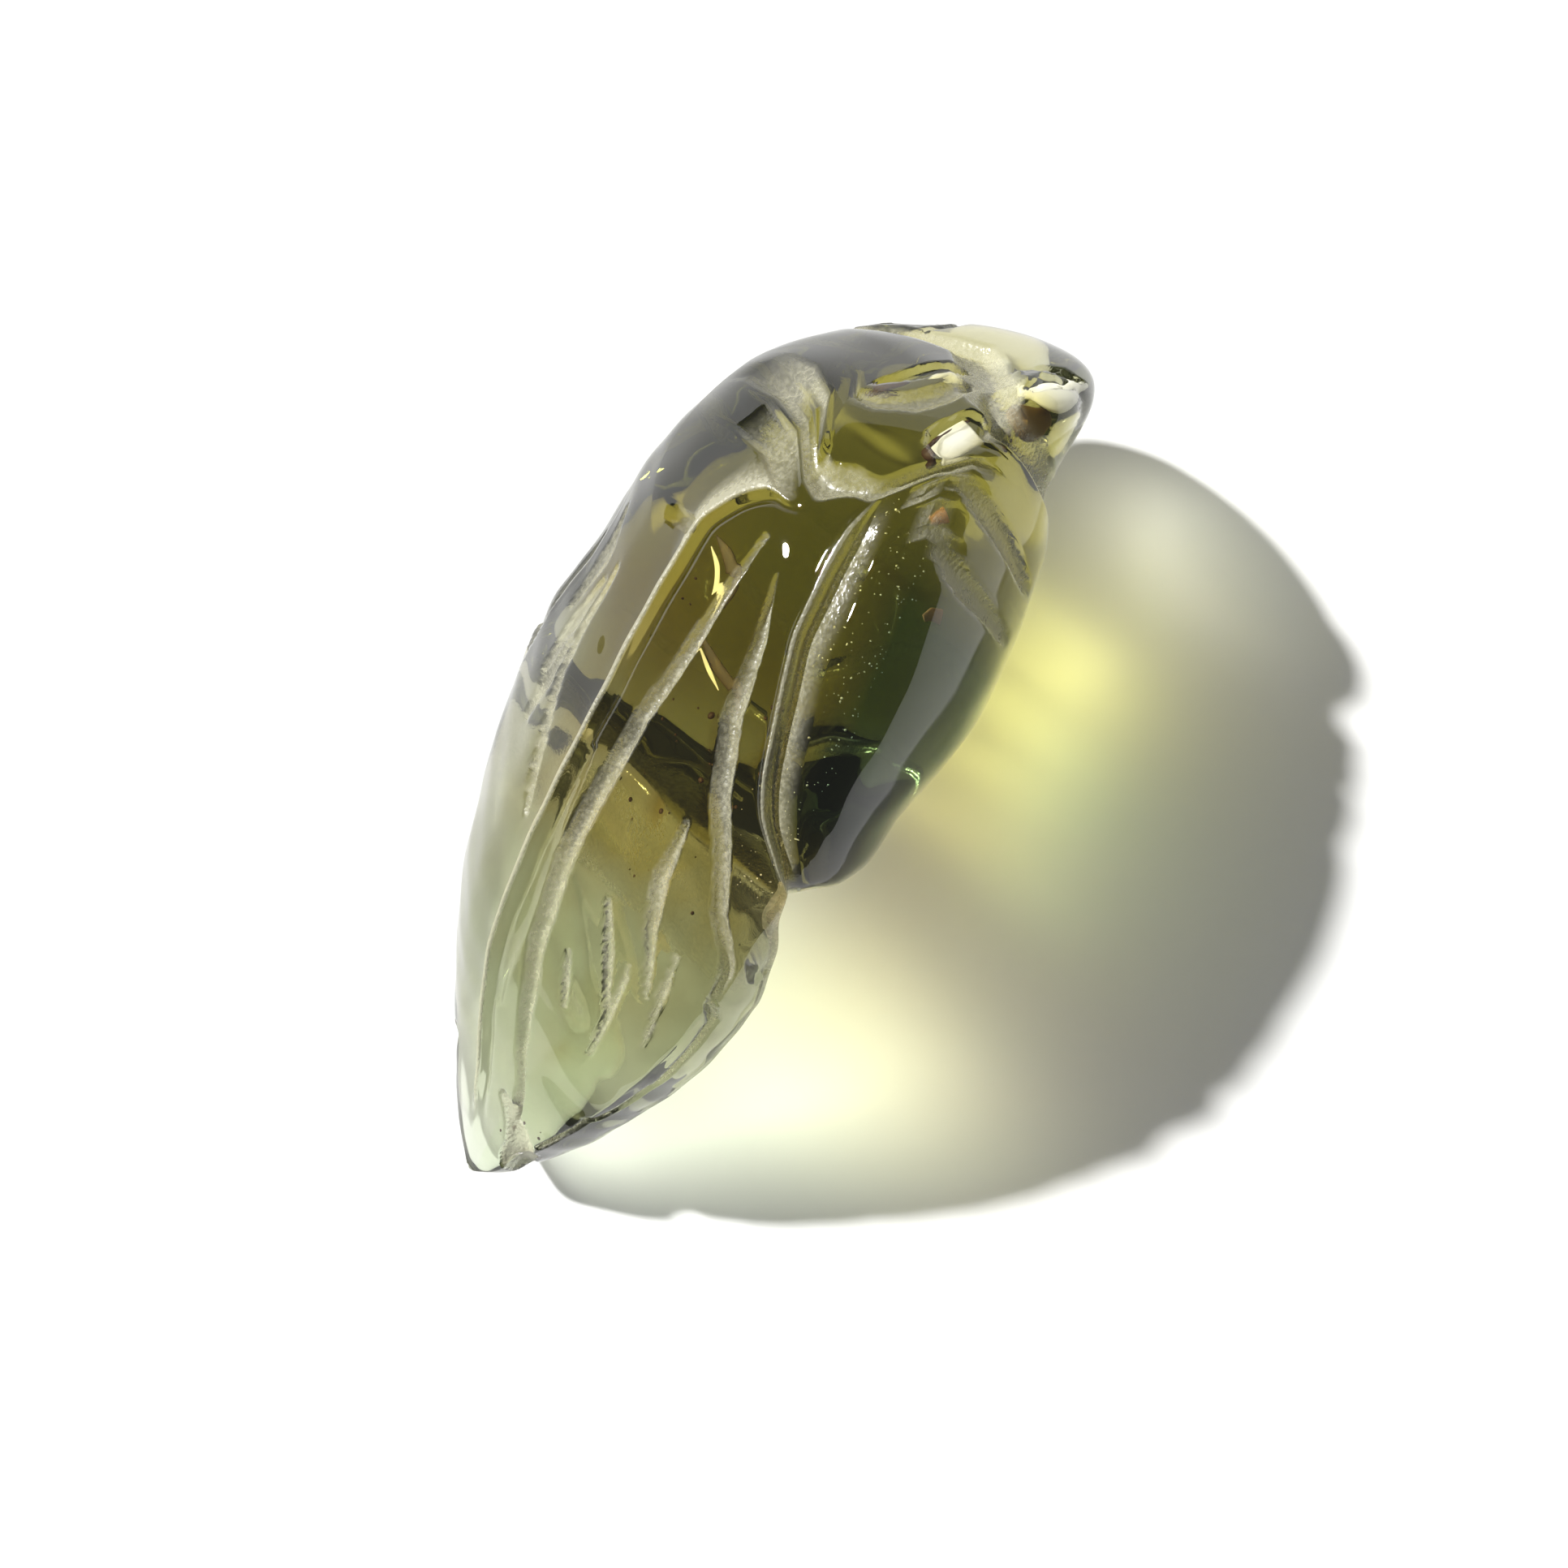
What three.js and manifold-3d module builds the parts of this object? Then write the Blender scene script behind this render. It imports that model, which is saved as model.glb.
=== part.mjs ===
// Carved crystal cicada lying on its left side: one solid stone with the wings folded over the back
import * as THREE from 'three';
import * as BufferGeometryUtils from 'three/addons/utils/BufferGeometryUtils.js';
import Module from 'manifold-3d';

// Overall length from tail tip to nose, in millimetres
const LENGTH = 62.5;

// Attitude of the stone as it lies, in degrees: rolled on to its left side, nose a little up
const ROLL = 40;
const PITCH = 2.2;

// Depth of the small flat that is ground where the stone rests, in millimetres
const FLAT_DEPTH = 1.0;

// Profile curves along the body: place from tail (0) to nose (1), then millimetres above the chord
const BACK = [[0, 1.5], [0.1, 5.9], [0.28, 13.3], [0.5, 17.0], [0.68, 18.8],
  [0.8, 18.3], [0.88, 14.6], [0.94, 9.8], [1, 6.4]];
const GIRTH = [[0, 1.6], [0.15, 5.3], [0.4, 10.0], [0.55, 12.2], [0.75, 12.4],
  [0.88, 10.8], [0.95, 7.2], [1, 4.4]];
const BELLY = [[0, 0.1], [0.2, -0.2], [0.36, 2.4], [0.41, 4.0], [0.455, 4.8], [0.52, -0.4],
  [0.7, -3.8], [0.82, -2.2], [0.9, 2.8], [0.94, 3.0], [1, 3.4]];

// Half width at the girth, in millimetres
const HALF_WIDTH = [[0, 0.9], [0.06, 4.1], [0.15, 8.0], [0.3, 12.2], [0.45, 14.0],
  [0.65, 12.8], [0.8, 9.8], [0.88, 8.0], [0.94, 6.3], [1, 4.0]];

// Height of the two rounded ends above the chord, in millimetres, and where the rounding begins
const TAIL_HEIGHT = 1.5;
const NOSE_HEIGHT = 3.6;
const TAIL_ROUND = 0.035;
const NOSE_ROUND = 0.95;
const END_POWER = 2.6;

// Section shape above: a crest over the wings that turns round over the thorax
const CREST = { from: 0.55, to: 0.82, spread: [1.25, 2.3], shoulder: [1.6, 2.3] };

// Section shape below: boxy under the wings, cut in from the sides at the waist, then round
const BOXINESS = [[0.36, 3.4], [0.42, 2.2], [0.45, 1.45], [0.47, 1.9], [0.49, 2.6], [0.56, 2.2]];

// The thorax was cut leaning to the left: its middle, in degrees from the crest, fading out by the girth
const LEAN = { angle: -22, rise: [0.58, 0.7], fall: [0.79, 0.86], reach: 90 };

// Guide lines down each side: place along the body, then degrees from the carved middle
const INNER_LINE = [[0.05, 48], [0.086, 45], [0.17, 25], [0.28, 16], [0.41, 12], [0.5, 13],
  [0.6, 15], [0.65, 18], [0.685, 29], [0.72, 36], [0.765, 36], [0.8, 30], [0.9, 26]];
const OUTER_LINE = [[0.05, 72], [0.086, 74], [0.17, 91], [0.25, 94], [0.33, 93], [0.38, 80],
  [0.41, 60], [0.46, 50], [0.49, 42], [0.55, 34], [0.62, 32], [0.68, 38], [0.72, 44], [0.8, 44]];
const WING_EDGE = [[0.05, 96], [0.1, 100], [0.2, 109], [0.3, 114], [0.4, 108], [0.45, 96],
  [0.48, 80], [0.52, 60], [0.59, 46], [0.65, 46], [0.7, 51], [0.8, 54]];

// Cuts along those lines, in millimetres, and the places between which they fade in and out
const VEIN = { half: 0.75, depth: 0.45, fade: [0.04, 0.1, 0.62, 0.68] };
const SHIELD = { half: 1.3, depth: 0.8, fade: [0.6, 0.68, 0.78, 0.82] };
const EDGE_STEP = { lip: 0.4, valley: 1.3, band: 2.6, slope: 0.6, depth: 0.9, fade: [0.1, 0.5, 0.72, 0.78] };

// Least clear width between neighbouring cuts, in degrees
const LEAST_GAP = 1.5;

// Lines across the body: degrees from the crest, then place along the body
const HEM = [[0, 0.822], [15, 0.806], [27, 0.77], [40, 0.757], [56, 0.8], [72, 0.838],
  [90, 0.842], [120, 0.83], [180, 0.82]];
const COLLAR = [[0, 0.945], [25, 0.93], [50, 0.905], [75, 0.878], [92, 0.874], [115, 0.864],
  [180, 0.86]];

// Where the rings of the surface reach those lines, and where the rings begin to bend to them
const RINGS = { bend: 0.62, hem: 0.8, collar: 0.9 };
const HEM_CUT = { half: 1.2, depth: 0.7, fade: [58, 86] };
const COLLAR_CUT = { half: 1.3, depth: 0.8, fade: [90, 180] };

// Hollows: place and degrees along the line, half width and depth in millimetres
const SCOOP = { line: [[0.842, 16], [0.862, 30], [0.89, 36]], half: 2.2, depth: 0.5 };
const TAIL_NICK = { line: [[0.115, 24], [0.09, 50], [0.062, 80], [0.05, 112]], half: 1.4, depth: 0.6 };

// Raised forms: place and degrees of the centre, radius and height in millimetres
const EYE = { line: [[0.925, 66]], half: 2.8, depth: -0.9 };
const KNOB = { line: [[0.786, 34]], half: 1.5, depth: -0.45 };

// Mesh fineness: rings along the body, and steps between the guide lines down one side
const RING_COUNT = 100;
const STEPS = { crest: 3, wing: 4, margin: 2, flank: 7 };
const LINE_SAMPLES = 8;
const TIP_CROWDING = 0.18;
const NORMAL_STEP = { along: 0.004, around: 1.5 };
const ARC_STEP = 5;
const MOST_DEGREES = 8;
const WELD = 1e-4;

const rad = THREE.MathUtils.degToRad;
const smooth = THREE.MathUtils.smoothstep;

// Monotone cubic through a few points, used for every profile
function curve(knots, t) {
  const last = knots.length - 1;
  const x = Math.min(Math.max(t, knots[0][0]), knots[last][0]);
  const slope = (i) => (knots[i + 1][1] - knots[i][1]) / (knots[i + 1][0] - knots[i][0]);
  const tangent = (i) => {
    if (i === 0) return slope(0);
    if (i === last) return slope(last - 1);
    const before = slope(i - 1);
    const after = slope(i);
    return before * after <= 0 ? 0 : (2 * before * after) / (before + after);
  };
  let i = 0;
  while (i < last - 1 && x >= knots[i + 1][0]) i += 1;
  const h = knots[i + 1][0] - knots[i][0];
  const u = (x - knots[i][0]) / h;
  return (1 + 2 * u) * (1 - u) ** 2 * knots[i][1] + u * (1 - u) ** 2 * h * tangent(i)
    + u * u * (3 - 2 * u) * knots[i + 1][1] + u * u * (u - 1) * h * tangent(i + 1);
}

// Rounding of the two ends: 1 along the body, 0 at the very tips
function endRounding(t) {
  const nose = Math.min(Math.max((t - NOSE_ROUND) / (1 - NOSE_ROUND), 0), 1);
  const tail = Math.min(Math.max((TAIL_ROUND - t) / TAIL_ROUND, 0), 1);
  return Math.sqrt(Math.max(1 - nose ** END_POWER, 0) * Math.max(1 - tail ** END_POWER, 0));
}

// Fades a carving in and out along the body
function fade([inFrom, inTo, outFrom, outTo], t) {
  return smooth(t, inFrom, inTo) * (1 - smooth(t, outFrom, outTo));
}

// Point on the uncarved stone: place along the body and degrees from the crest, right side positive
function skin(t, degrees) {
  const round = endRounding(t);
  const middle = TAIL_HEIGHT + (NOSE_HEIGHT - TAIL_HEIGHT) * t;
  const height = (knots) => middle + (curve(knots, t) - middle) * round;
  const half = curve(HALF_WIDTH, t) * round;
  const girth = height(GIRTH);
  const angle = Math.abs(degrees);
  const side = degrees < 0 ? 1 : -1;
  if (angle <= 90) {
    const turn = smooth(t, CREST.from, CREST.to);
    const spread = THREE.MathUtils.lerp(...CREST.spread, turn);
    const shoulder = THREE.MathUtils.lerp(...CREST.shoulder, turn);
    const s = Math.sin(rad(angle));
    const rise = Math.max(1 - s ** spread, 0) ** (1 / shoulder);
    return new THREE.Vector3(LENGTH * t, side * half * s, girth + (height(BACK) - girth) * rise);
  }
  const power = curve(BOXINESS, t);
  const c = Math.max(Math.cos(rad(angle - 90)), 0) ** (2 / power);
  const s = Math.max(Math.sin(rad(angle - 90)), 0) ** (2 / power);
  return new THREE.Vector3(LENGTH * t, side * half * c, girth - (girth - height(BELLY)) * s);
}

// Degrees from the crest of a line counted from the carved middle, right side positive
function leaned(t, angle) {
  const lean = LEAN.angle * smooth(t, ...LEAN.rise) * (1 - smooth(t, ...LEAN.fall));
  return angle + lean * Math.max(1 - Math.abs(angle) / LEAN.reach, 0);
}

// Place along the body of a ring, bent so that rings run along the hem and the collar
function ringPlace(ring, degrees) {
  const angle = Math.abs(degrees);
  const stops = [[0, 0], [RINGS.bend, RINGS.bend], [RINGS.hem, curve(HEM, angle)],
    [RINGS.collar, curve(COLLAR, angle)], [1, 1]];
  let k = 0;
  while (k < stops.length - 2 && ring > stops[k + 1][0]) k += 1;
  return THREE.MathUtils.mapLinear(ring, stops[k][0], stops[k + 1][0], stops[k][1], stops[k + 1][1]);
}

// Hollows and raised forms on both sides, each as points on the uncarved stone
function handWork() {
  const forms = [];
  for (const { line, half, depth } of [SCOOP, TAIL_NICK, EYE, KNOB]) {
    for (const side of [1, -1]) {
      const points = line.length > 1 ? [] : [skin(line[0][0], side * line[0][1])];
      for (let k = 0; k < line.length - 1; k += 1) {
        for (let j = 0; j <= LINE_SAMPLES; j += 1) {
          const t = THREE.MathUtils.lerp(line[k][0], line[k + 1][0], j / LINE_SAMPLES);
          const angle = THREE.MathUtils.lerp(line[k][1], line[k + 1][1], j / LINE_SAMPLES);
          points.push(skin(t, side * angle));
        }
      }
      forms.push({ points, half, depth });
    }
  }
  return forms;
}

// Depth of a rounded cut at some distance from its middle
function bowl(distance, half, depth) {
  return depth * Math.max(1 - (distance / half) ** 2, 0);
}

// Height of the hollows and raised forms at a point
function handWorkHeight(forms, point) {
  let height = 0;
  for (const { points, half, depth } of forms) {
    const nearest = Math.min(...points.map((p) => p.distanceTo(point)));
    height -= bowl(nearest, half, depth);
  }
  return height;
}

// Depth of the hem and collar cuts on a ring
function crossCut(ring, degrees) {
  const angle = Math.abs(degrees);
  const hem = bowl((ring - RINGS.hem) * LENGTH, HEM_CUT.half, HEM_CUT.depth);
  const collar = bowl((ring - RINGS.collar) * LENGTH, COLLAR_CUT.half, COLLAR_CUT.depth);
  return hem * (1 - smooth(angle, ...HEM_CUT.fade)) + collar * (1 - smooth(angle, ...COLLAR_CUT.fade));
}

// Degrees down a section that cover a width in millimetres, held small at the two tips
function degreesFor(width, t, angle) {
  const reach = skin(t, angle + ARC_STEP).distanceTo(skin(t, angle - ARC_STEP));
  const degrees = (2 * ARC_STEP * width) / reach;
  return Math.min(degrees, MOST_DEGREES * width / VEIN.half);
}

// Section angles down one side, each with the height carved there by the wing's own lines
function sectionLines(t) {
  const shield = fade(SHIELD.fade, t);
  const vein = VEIN.depth * fade(VEIN.fade, t);
  const step = EDGE_STEP.depth * fade(EDGE_STEP.fade, t);
  const inner = curve(INNER_LINE, t);
  const innerHalf = degreesFor(VEIN.half, t, inner);
  const wideHalf = innerHalf * THREE.MathUtils.lerp(1, SHIELD.half / VEIN.half, shield);
  const outerHalf = degreesFor(VEIN.half, t, curve(OUTER_LINE, t));
  const outer = Math.max(curve(OUTER_LINE, t), inner + innerHalf + outerHalf + LEAST_GAP);
  const edge = Math.max(curve(WING_EDGE, t), outer + outerHalf + LEAST_GAP);
  const [lip, valley, band] = [EDGE_STEP.lip, EDGE_STEP.valley, EDGE_STEP.band]
    .map((width) => edge + degreesFor(width, t, edge));
  const lines = [[0, 0]];
  const spread = (from, to, count) => {
    for (let k = 1; k < count; k += 1) lines.push([from + ((to - from) * k) / count, 0]);
  };
  spread(0, inner - wideHalf, STEPS.crest);
  lines.push([inner - wideHalf, 0], [inner, -Math.max(vein, SHIELD.depth * shield)]);
  lines.push([inner + innerHalf, 0]);
  spread(inner + innerHalf, outer - outerHalf, STEPS.wing);
  lines.push([outer - outerHalf, 0], [outer, -vein], [outer + outerHalf, 0]);
  spread(outer + outerHalf, edge, STEPS.margin);
  lines.push([edge, 0], [lip, -step], [valley, -step * EDGE_STEP.slope], [band, 0]);
  spread(band, 180, STEPS.flank);
  lines.push([180, 0]);
  return lines;
}

// Outward direction on the uncarved stone
function outward(t, angle) {
  const along = skin(Math.min(t + NORMAL_STEP.along, 1), angle)
    .sub(skin(Math.max(t - NORMAL_STEP.along, 0), angle));
  const around = skin(t, angle + NORMAL_STEP.around).sub(skin(t, angle - NORMAL_STEP.around));
  return around.cross(along).normalize();
}

// The closed carved surface: rings of points from tail to nose, with a point at each end
function carvedSurface() {
  const forms = handWork();
  const points = [];
  let count = 0;
  for (let i = 1; i < RING_COUNT; i += 1) {
    const even = i / RING_COUNT;
    const ring = THREE.MathUtils.lerp(even, (1 - Math.cos(Math.PI * even)) / 2, TIP_CROWDING);
    const down = sectionLines(ring);
    const up = down.slice(1, -1).reverse().map(([angle, height]) => [-angle, height]);
    const lines = down.concat(up);
    count = lines.length;
    for (const [line, height] of lines) {
      const angle = leaned(ring, line);
      const t = ringPlace(ring, angle);
      const point = skin(t, angle);
      const rise = height + handWorkHeight(forms, point) - crossCut(ring, angle);
      points.push(point.addScaledVector(outward(t, angle), rise * endRounding(t)));
    }
  }
  const tail = points.push(skin(0, 0)) - 1;
  const nose = points.push(skin(1, 0)) - 1;
  const last = RING_COUNT - 2;
  const faces = [];
  for (let j = 0; j < count; j += 1) {
    const next = (j + 1) % count;
    for (let i = 0; i < last; i += 1) {
      const [a, b] = [i * count + j, i * count + next];
      const [c, d] = [(i + 1) * count + next, (i + 1) * count + j];
      faces.push(a, b, c, a, c, d);
    }
    faces.push(tail, next, j);
    faces.push(nose, last * count + j, last * count + next);
  }
  const geometry = new THREE.BufferGeometry().setFromPoints(points);
  geometry.setIndex(faces);
  return geometry;
}

// Turns the carving into the attitude in which it lies
function layDown(geometry) {
  geometry.rotateX(rad(-ROLL));
  geometry.rotateY(rad(-PITCH));
  geometry.computeBoundingBox();
  return geometry;
}

const wasm = await Module();
wasm.setup();

// Closed mesh to solid, and back again
function toSolid(geometry) {
  const bare = new THREE.BufferGeometry();
  bare.setAttribute('position', geometry.getAttribute('position'));
  bare.setIndex(geometry.getIndex());
  const merged = BufferGeometryUtils.mergeVertices(bare, WELD);
  return new wasm.Manifold(new wasm.Mesh({
    numProp: 3,
    vertProperties: new Float32Array(merged.getAttribute('position').array),
    triVerts: new Uint32Array(merged.getIndex().array),
  }));
}

function toGeometry(solid) {
  const mesh = solid.getMesh();
  const geometry = new THREE.BufferGeometry();
  geometry.setAttribute('position', new THREE.BufferAttribute(mesh.vertProperties, 3));
  geometry.setIndex(new THREE.BufferAttribute(mesh.triVerts, 1));
  return geometry;
}

// Grinds the resting flat and sets the origin under the middle of the stone
function groundStone() {
  const raw = layDown(carvedSurface());
  const box = raw.boundingBox;
  const slab = new THREE.BoxGeometry(2 * LENGTH, 2 * LENGTH, LENGTH);
  slab.translate(LENGTH / 2, 0, box.min.z + FLAT_DEPTH - LENGTH / 2);
  const geometry = toGeometry(toSolid(raw).subtract(toSolid(slab)));
  geometry.computeBoundingBox();
  const cut = geometry.boundingBox;
  geometry.translate(-(cut.min.x + cut.max.x) / 2, -(cut.min.y + cut.max.y) / 2, -cut.min.z);
  geometry.computeVertexNormals();
  return geometry;
}

const citrine = new THREE.MeshStandardMaterial({ color: 0x8a8a52, roughness: 0.08, metalness: 0 });
const carving = new THREE.Mesh(groundStone(), citrine);
carving.name = 'cicada_carving';

const model = new THREE.Group();
model.add(carving);

export default model;
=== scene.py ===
"""Cicada carved from one see-through citrine, lying on its left side on a pale floor."""
import logging
import math
from collections.abc import Sequence
from dataclasses import dataclass, field
from enum import Enum

import bpy
import numpy as np
from mathutils import Matrix, Vector
from mathutils.bvhtree import BVHTree


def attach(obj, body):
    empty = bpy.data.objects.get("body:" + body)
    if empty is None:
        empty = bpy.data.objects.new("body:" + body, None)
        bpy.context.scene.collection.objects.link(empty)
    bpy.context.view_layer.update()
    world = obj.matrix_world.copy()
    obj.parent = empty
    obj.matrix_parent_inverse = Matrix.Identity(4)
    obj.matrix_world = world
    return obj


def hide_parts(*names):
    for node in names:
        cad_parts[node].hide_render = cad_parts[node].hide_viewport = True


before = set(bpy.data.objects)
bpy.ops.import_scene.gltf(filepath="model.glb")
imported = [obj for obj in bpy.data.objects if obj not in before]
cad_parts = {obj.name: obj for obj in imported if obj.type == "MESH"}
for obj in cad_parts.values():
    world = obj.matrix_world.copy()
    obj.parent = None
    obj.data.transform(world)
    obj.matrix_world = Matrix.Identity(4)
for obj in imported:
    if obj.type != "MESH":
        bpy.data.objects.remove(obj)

log = logging.getLogger("cicada")

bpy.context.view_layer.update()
NODE = "cicada_carving"
MM = 0.001
Knots = tuple[tuple[float, float], ...]


class Side(Enum):
    """Which side of the cicada a cut is carved on."""

    BOTH = (1, -1)
    RIGHT = (1,)
    LEFT = (-1,)


def smooth(x: np.ndarray, low: float, high: float) -> np.ndarray:
    """Smooth step from 0 at low to 1 at high.

    Args:
        x: values.
        low: where the step begins.
        high: where the step ends.

    Returns:
        The eased values.
    """
    u = np.clip((x - low) / (high - low), 0, 1)
    return u * u * (3 - 2 * u)


def curve(knots: Knots, t: np.ndarray) -> np.ndarray:
    """Monotone cubic through a few points.

    Args:
        knots: places and values.
        t: places to read.

    Returns:
        The values there.
    """
    x, y = np.array(knots, float).T
    gap = np.diff(x)
    slope = np.diff(y) / gap
    before, after = slope[:-1], slope[1:]
    total = np.where(before * after > 0, before + after, 1)
    inner = np.where(before * after > 0, 2 * before * after / total, 0)
    tangent = np.concatenate([slope[:1], inner, slope[-1:]])
    at = np.clip(t, x[0], x[-1])
    i = np.clip(np.searchsorted(x, at, side="right") - 1, 0, len(gap) - 1)
    u = (at - x[i]) / gap[i]
    start = (1 + 2 * u) * (1 - u) ** 2 * y[i] + u * (1 - u) ** 2 * gap[i] * tangent[i]
    return start + u * u * (3 - 2 * u) * y[i + 1] + u * u * (u - 1) * gap[i] * tangent[i + 1]


@dataclass(frozen=True)
class BodyForm:
    """The uncarved stone in millimetres: profile curves from the tail (0) to the nose (1)."""

    length: float = 62.5
    back: Knots = ((0, 1.5), (0.1, 5.9), (0.28, 13.3), (0.5, 17.0), (0.68, 18.8),
                   (0.8, 18.3), (0.88, 14.6), (0.94, 9.8), (1, 6.4))
    girth: Knots = ((0, 1.6), (0.15, 5.3), (0.4, 10.0), (0.55, 12.2), (0.75, 12.4),
                    (0.88, 10.8), (0.95, 7.2), (1, 4.4))
    belly: Knots = ((0, 0.1), (0.2, -0.2), (0.36, 2.4), (0.41, 4.0), (0.455, 4.8), (0.52, -0.4),
                    (0.7, -3.8), (0.82, -2.2), (0.9, 2.8), (0.94, 3.0), (1, 3.4))
    half_width: Knots = ((0, 0.9), (0.06, 4.1), (0.15, 8.0), (0.3, 12.2), (0.45, 14.0),
                         (0.65, 12.8), (0.8, 9.8), (0.88, 8.0), (0.94, 6.3), (1, 4.0))
    end_heights: tuple[float, float] = (1.5, 3.6)
    tail_round: float = 0.035
    nose_round: float = 0.95
    end_power: float = 2.6
    crest_turn: tuple[float, float] = (0.55, 0.82)
    crest_spread: tuple[float, float] = (1.25, 2.3)
    crest_shoulder: tuple[float, float] = (1.6, 2.3)
    boxiness: Knots = ((0.36, 3.4), (0.42, 2.2), (0.45, 1.45), (0.47, 1.9), (0.49, 2.6), (0.56, 2.2))

    def rounding(self, t: np.ndarray) -> np.ndarray:
        """Rounding of the two ends.

        Args:
            t: places along the body.

        Returns:
            1 along the body, 0 at the tips.
        """
        nose = np.clip((t - self.nose_round) / (1 - self.nose_round), 0, 1)
        tail = np.clip((self.tail_round - t) / self.tail_round, 0, 1)
        return np.sqrt((1 - nose ** self.end_power) * (1 - tail ** self.end_power))

    def skin(self, t: np.ndarray, degrees: np.ndarray) -> np.ndarray:
        """Points on the uncarved stone.

        Args:
            t: places along the body.
            degrees: angles from the crest, right side positive.

        Returns:
            Points with a last axis of length 3: forward, left, up.
        """
        t, degrees = np.broadcast_arrays(t, degrees)
        ends = self.rounding(t)
        middle = self.end_heights[0] + (self.end_heights[1] - self.end_heights[0]) * t
        top, side, low = (middle + (curve(k, t) - middle) * ends for k in (self.back, self.girth, self.belly))
        half = curve(self.half_width, t) * ends
        angle = np.abs(degrees)
        turn = smooth(t, *self.crest_turn)
        spread = self.crest_spread[0] + (self.crest_spread[1] - self.crest_spread[0]) * turn
        shoulder = self.crest_shoulder[0] + (self.crest_shoulder[1] - self.crest_shoulder[0]) * turn
        upper = np.sin(np.radians(np.minimum(angle, 90)))
        high = side + (top - side) * np.maximum(1 - upper ** spread, 0) ** (1 / shoulder)
        power = curve(self.boxiness, t)
        below = np.radians(np.clip(angle - 90, 0, 90))
        deep = side - (side - low) * np.sin(below) ** (2 / power)
        across = np.where(angle <= 90, upper, np.maximum(np.cos(below), 0) ** (2 / power))
        sign = np.where(degrees < 0, 1, -1)
        return np.stack([self.length * t, sign * half * across, np.where(angle <= 90, high, deep)], -1)

    def outward(self, t: np.ndarray, degrees: np.ndarray) -> np.ndarray:
        """Outward directions on the uncarved stone.

        Args:
            t: places along the body.
            degrees: angles from the crest, right side positive.

        Returns:
            Unit vectors.
        """
        step_t, step_a = 0.004, 1.5
        along = self.skin(np.minimum(t + step_t, 1), degrees) - self.skin(np.maximum(t - step_t, 0), degrees)
        around = self.skin(t, degrees + step_a) - self.skin(t, degrees - step_a)
        normal = np.cross(around, along)
        return normal / np.linalg.norm(normal, axis=-1, keepdims=True)


@dataclass(frozen=True)
class Layout:
    """Guide lines of the carving, in degrees from the crest or as places along the body."""

    lean_angle: float = -22
    lean_rise: tuple[float, float] = (0.58, 0.7)
    lean_fall: tuple[float, float] = (0.79, 0.86)
    lean_reach: float = 90
    ridge: Knots = ((0.05, 0), (0.655, 0), (0.68, 3), (0.715, 11), (0.75, 21), (0.79, 20), (0.86, 8), (0.95, 0))
    inner: Knots = ((0.05, 48), (0.086, 45), (0.17, 25), (0.28, 16), (0.35, 12), (0.5, 13),
                    (0.573, 16), (0.635, 18), (0.685, 20), (0.75, 28), (0.8, 32))
    outer: Knots = ((0.05, 72), (0.086, 74), (0.174, 91), (0.251, 94), (0.329, 93), (0.377, 80),
                    (0.413, 60), (0.459, 50), (0.493, 42), (0.553, 34), (0.663, 29), (0.75, 35))
    edge: Knots = ((0.05, 95), (0.1, 100), (0.2, 110), (0.3, 114), (0.4, 108), (0.44, 100), (0.461, 90),
                   (0.475, 74), (0.507, 56), (0.55, 48), (0.587, 44), (0.65, 40), (0.7, 40), (0.75, 41),
                   (0.8, 46))
    right_hem: Knots = ((0, 0.82), (9, 0.806), (15, 0.788), (21, 0.766), (30, 0.756), (42, 0.761),
                        (50, 0.782), (60, 0.812), (72, 0.84), (90, 0.842), (120, 0.83), (180, 0.82))
    left_hem: Knots = ((0, 0.82), (16, 0.824), (36, 0.822), (52, 0.812), (72, 0.82), (90, 0.826),
                       (120, 0.825), (180, 0.82))
    collar: Knots = ((0, 0.94), (22, 0.924), (36, 0.908), (57, 0.89), (70, 0.872), (92, 0.87),
                     (115, 0.864), (180, 0.86))
    bend_ring: float = 0.62
    hem_ring: float = 0.8
    collar_ring: float = 0.9

    def mirrored(self, t: np.ndarray, angle: np.ndarray) -> np.ndarray:
        """Right-side angles carried over to the left, about the leaning middle of the carving.

        Args:
            t: places along the body.
            angle: degrees from the crest on the right side.

        Returns:
            Degrees from the crest on the left side.
        """
        lean = self.lean_angle * smooth(t, *self.lean_rise) * (1 - smooth(t, *self.lean_fall))
        share = 1 - lean / self.lean_reach
        own = (angle - lean) / share
        near = lean * (1 - own / self.lean_reach) - own
        return np.where(own < self.lean_reach, near, -angle)

    def ring_place(self, ring: np.ndarray, degrees: np.ndarray) -> np.ndarray:
        """Place along the body of rings that bend to follow the hem and the collar.

        Args:
            ring: ring numbers from 0 to 1.
            degrees: degrees from the crest.

        Returns:
            Places along the body.
        """
        ring, degrees = np.broadcast_arrays(ring, degrees)
        down = np.abs(degrees)
        hem = np.where(degrees > 0, curve(self.right_hem, down), curve(self.left_hem, down))
        collar = curve(self.collar, down)
        rear = self.bend_ring + (hem - self.bend_ring) * (ring - self.bend_ring) / (self.hem_ring - self.bend_ring)
        neck = hem + (collar - hem) * (ring - self.hem_ring) / (self.collar_ring - self.hem_ring)
        head = collar + (1 - collar) * (ring - self.collar_ring) / (1 - self.collar_ring)
        return np.select([ring <= self.bend_ring, ring <= self.hem_ring, ring <= self.collar_ring],
                         [ring, rear, neck], head)


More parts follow.
